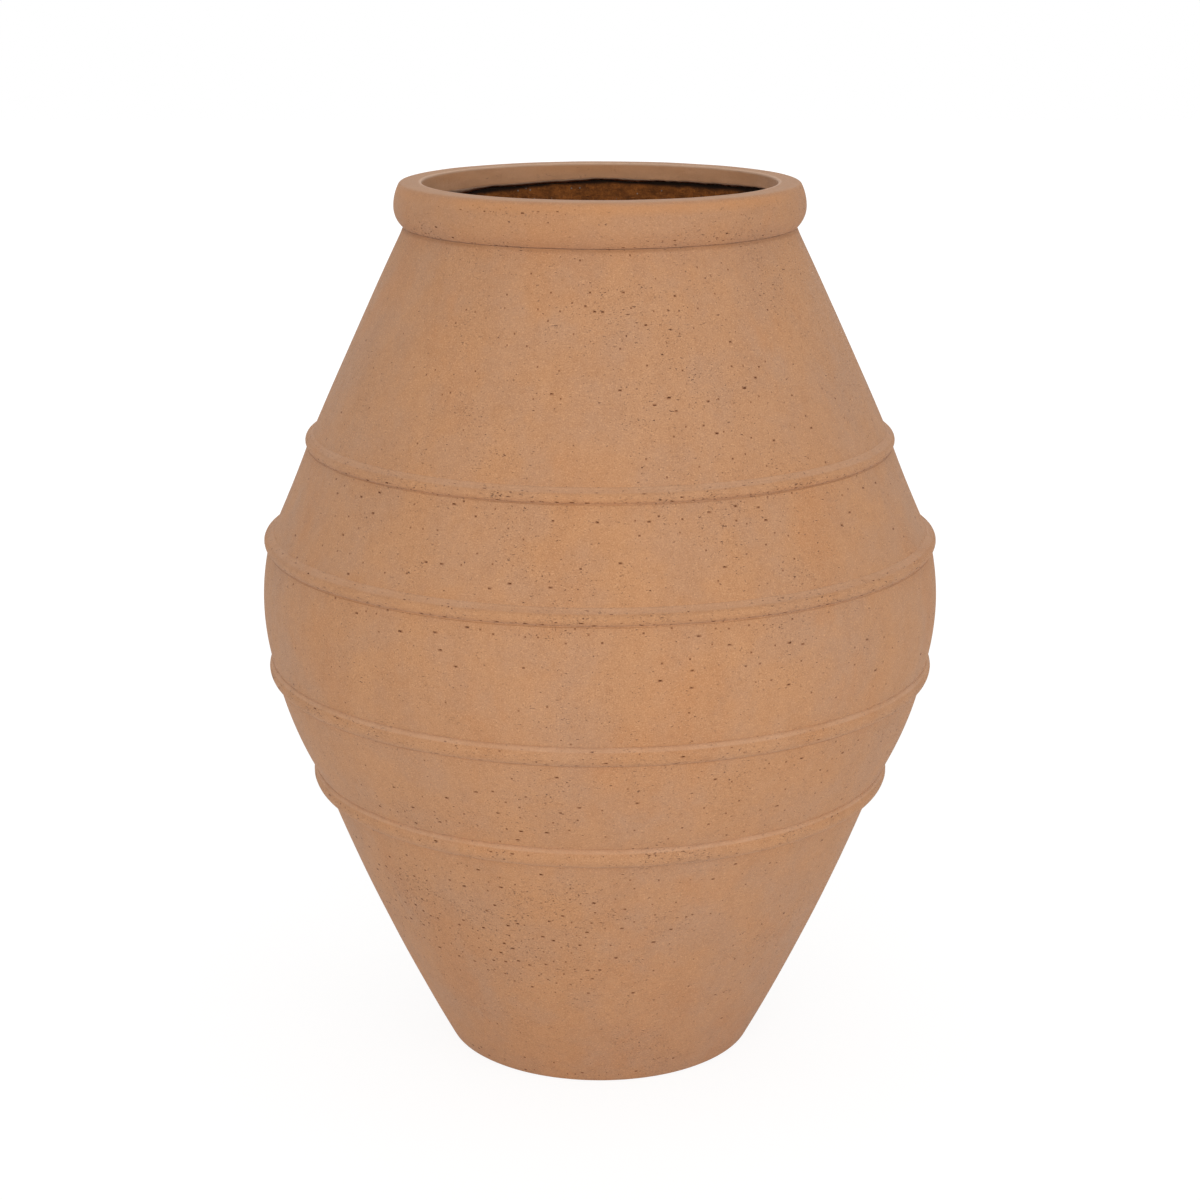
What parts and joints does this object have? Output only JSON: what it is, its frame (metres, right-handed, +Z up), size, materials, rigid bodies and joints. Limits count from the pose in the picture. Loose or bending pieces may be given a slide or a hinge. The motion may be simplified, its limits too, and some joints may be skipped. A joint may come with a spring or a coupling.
{
  "type": "pithos planter",
  "caption": "Tall open garden jar in the form of a Greek pithos, wide at the belly, with raised bands, a rolled rim, a flat foot and a drain hole.",
  "frame": {"origin": "centre of the flat foot, on the ground", "axes": "+Z up along the axis of the jar; the jar is round, so X and Y are any two directions across it"},
  "size_m": [0.6914, 0.6912, 0.9],
  "materials": {
    "clay_skin": "matt",
    "fibre_layer": "rough"
  },
  "bodies": {
    "root": {"floor_disc": "clay_skin", "foot_drum": "clay_skin", "lower_belly_drum": "clay_skin", "belly_drum": "clay_skin", "upper_belly_drum": "clay_skin", "shoulder_drum": "clay_skin", "foot_band": "clay_skin", "lower_belly_band": "clay_skin", "upper_belly_band": "clay_skin", "shoulder_band": "clay_skin", "rim_collar": "clay_skin", "wall_lining": "fibre_layer", "floor_lining": "fibre_layer"}
  },
  "joints": []
}
